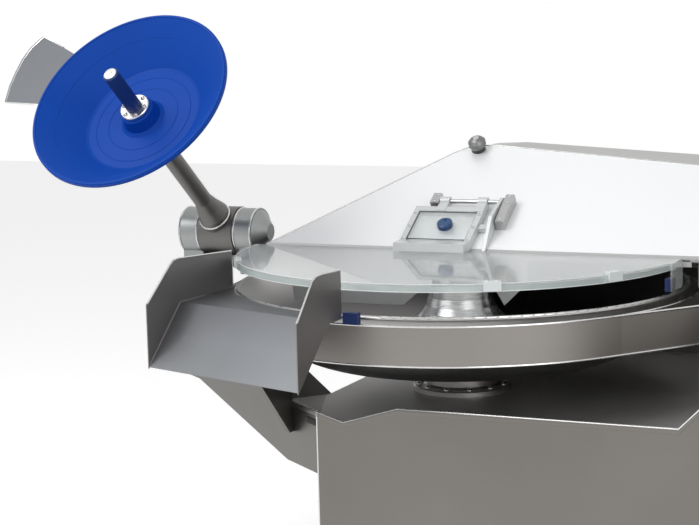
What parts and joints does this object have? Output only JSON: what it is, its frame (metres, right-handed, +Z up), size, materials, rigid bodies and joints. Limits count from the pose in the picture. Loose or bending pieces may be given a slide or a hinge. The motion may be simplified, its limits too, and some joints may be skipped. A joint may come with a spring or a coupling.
{
  "type": "bowl cutter",
  "caption": "Bowl cutter: turning bowl under a knife hood with a clear half cover, a disc unloader on a tilting arm and a discharge chute, on a stainless base.",
  "frame": {"origin": "middle of the whole machine's footprint, on the floor under the feet", "axes": "+Z up, +Y to the back, +X to the machine's right, so the front panel faces -Y"},
  "size_m": [2.688, 1.8601, 1.7834],
  "materials": {
    "housing_steel": "brushed stainless sheet",
    "plate_steel": "brushed stainless plate",
    "bright_steel": "turned and polished stainless",
    "bowl_steel": "turned stainless casting",
    "lid_steel": "bright rolled stainless",
    "cast_steel": "painted casting",
    "belt_rubber": "matt rubber",
    "black_plastic": "black plastic",
    "blue_plastic": "blue food-grade plastic",
    "clear_sheet": null,
    "white_plastic": "white plastic",
    "green_plastic": "green push button",
    "red_plastic": "red push button"
  },
  "bodies": {
    "base": {"base_housing": "housing_steel", "front_panel": "housing_steel", "deck_plate": "housing_steel", "support_arm": "housing_steel", "rear_housing": "housing_steel", "drive_housing": "housing_steel", "levelling_feet": "bright_steel", "door_hinge": "housing_steel", "chute_slide": "plate_steel", "chute_left_wall": "plate_steel", "chute_right_wall": "plate_steel", "chute_pads": "blue_plastic", "chute_bracket": "plate_steel", "bowl_guard": "housing_steel", "guard_brackets": "housing_steel", "bowl_pedestal": "bright_steel", "shaft_bearings": "bright_steel", "bowl_gearmotor": "cast_steel", "bearing_housing": "bright_steel", "drive_belts": "belt_rubber", "main_motor": "cast_steel", "hood_hinge_bearings": "housing_steel", "control_panel": "housing_steel"},
    "bowl": {"bowl_shaft": "bright_steel", "bowl": "bowl_steel", "hub_cone": "bright_steel"},
    "knives": {"knife_shaft": "bright_steel", "knife_pulley": "cast_steel", "cutting_knives": "plate_steel", "clamp_nut": "bright_steel"},
    "motor_drive": {"motor_pulley": "cast_steel"},
    "hood": {"hood_shell": "housing_steel", "hood_lid": "lid_steel", "hood_baffle": "housing_steel", "rod_blocks": "plate_steel", "hinge_rod": "bright_steel", "corner_knob": "bright_steel", "knob_base": "black_plastic", "hood_hinge_arms": "housing_steel"},
    "cover": {"clear_cover": "clear_sheet", "cover_flanges": "clear_sheet", "cover_clips": "white_plastic", "cover_pads": "blue_plastic", "hatch_frame": "plate_steel", "hatch_window": "clear_sheet"},
    "hatch_knob": {"blue_knob": "blue_plastic"},
    "post": {"unloader_post": "bright_steel", "pivot_yoke": "bright_steel", "pivot_shaft": "bright_steel"},
    "arm": {"arm_tube": "bright_steel", "disc_motor": "cast_steel", "scraper_plate": "plate_steel"},
    "disc": {"dish_shaft": "bright_steel", "unloader_dish": "blue_plastic"},
    "door": {"service_door": "housing_steel"},
    "latch": {"door_latch": "black_plastic"},
    "start": {"start_button": "green_plastic"},
    "stop": {"stop_button": "red_plastic"},
    "emergency": {"emergency_stop": "red_plastic"},
    "selector": {"selector_switch": "black_plastic"}
  },
  "joints": [
    {"name": "bowl_spin", "type": "hinge", "parent": "base", "child": "bowl", "pos_m": [0.0695, -0.02, 0.9], "axis": [0, 0, 1], "continuous": true},
    {"name": "knife_spin", "type": "hinge", "parent": "base", "child": "knives", "pos_m": [0.0695, 0.352, 1.038], "axis": [1, 0, 0], "continuous": true},
    {"name": "motor_spin", "type": "hinge", "parent": "base", "child": "motor_drive", "pos_m": [1.0495, 0.312, 0.478], "axis": [1, 0, 0], "continuous": true},
    {"name": "hood_lift", "type": "hinge", "parent": "base", "child": "hood", "pos_m": [0.3695, 0.765, 1.082], "axis": [-1, 0, 0], "range_deg": [0, 70]},
    {"name": "cover_lift", "type": "hinge", "parent": "hood", "child": "cover", "pos_m": [0.0695, 0.13325, 1.21559], "axis": [-1, 0, 0], "range_deg": [0, 100]},
    {"name": "hatch_knob_turn", "type": "hinge", "parent": "cover", "child": "hatch_knob", "pos_m": [0.0045, 0.0318, 1.15338], "axis": [0, -0.5299, 0.848], "range_deg": [0, 90]},
    {"name": "unloader_swivel", "type": "hinge", "parent": "base", "child": "post", "pos_m": [-0.7875, 0.08, 0.9], "axis": [0, 0, 1], "range_deg": [-60, 15]},
    {"name": "unloader_tilt", "type": "hinge", "parent": "post", "child": "arm", "pos_m": [-0.7485, 0.08, 1.115], "axis": [1, 0, 0], "range_deg": [-20, 10]},
    {"name": "disc_spin", "type": "hinge", "parent": "arm", "child": "disc", "pos_m": [-0.77062, -0.34206, 1.48239], "axis": [-0.0395, -0.7537, 0.6561], "continuous": true},
    {"name": "service_door_swing", "type": "hinge", "parent": "base", "child": "door", "pos_m": [1.3325, 0.324, 0.5], "axis": [0, 0, 1], "range_deg": [0, 110]},
    {"name": "door_latch_turn", "type": "hinge", "parent": "door", "child": "latch", "pos_m": [1.3245, -0.373, 0.515], "axis": [1, 0, 0], "range_deg": [0, 90]},
    {"name": "start_press", "type": "slide", "parent": "base", "child": "start", "axis": [0, 0, -1], "range_m": [0, 0.004], "stiffness_N_per_m": 800},
    {"name": "stop_press", "type": "slide", "parent": "base", "child": "stop", "axis": [0, 0, -1], "range_m": [0, 0.004], "stiffness_N_per_m": 800},
    {"name": "emergency_press", "type": "slide", "parent": "base", "child": "emergency", "axis": [0, 0, -1], "range_m": [0, 0.004], "stiffness_N_per_m": 800},
    {"name": "selector_turn", "type": "hinge", "parent": "base", "child": "selector", "pos_m": [1.20213, -0.391, 0.93], "axis": [0, 0, 1], "range_deg": [-45, 45]}
  ],
  "couplings": [
    {"joint": "motor_spin", "follows": "knife_spin", "ratio": 1.25}
  ]
}
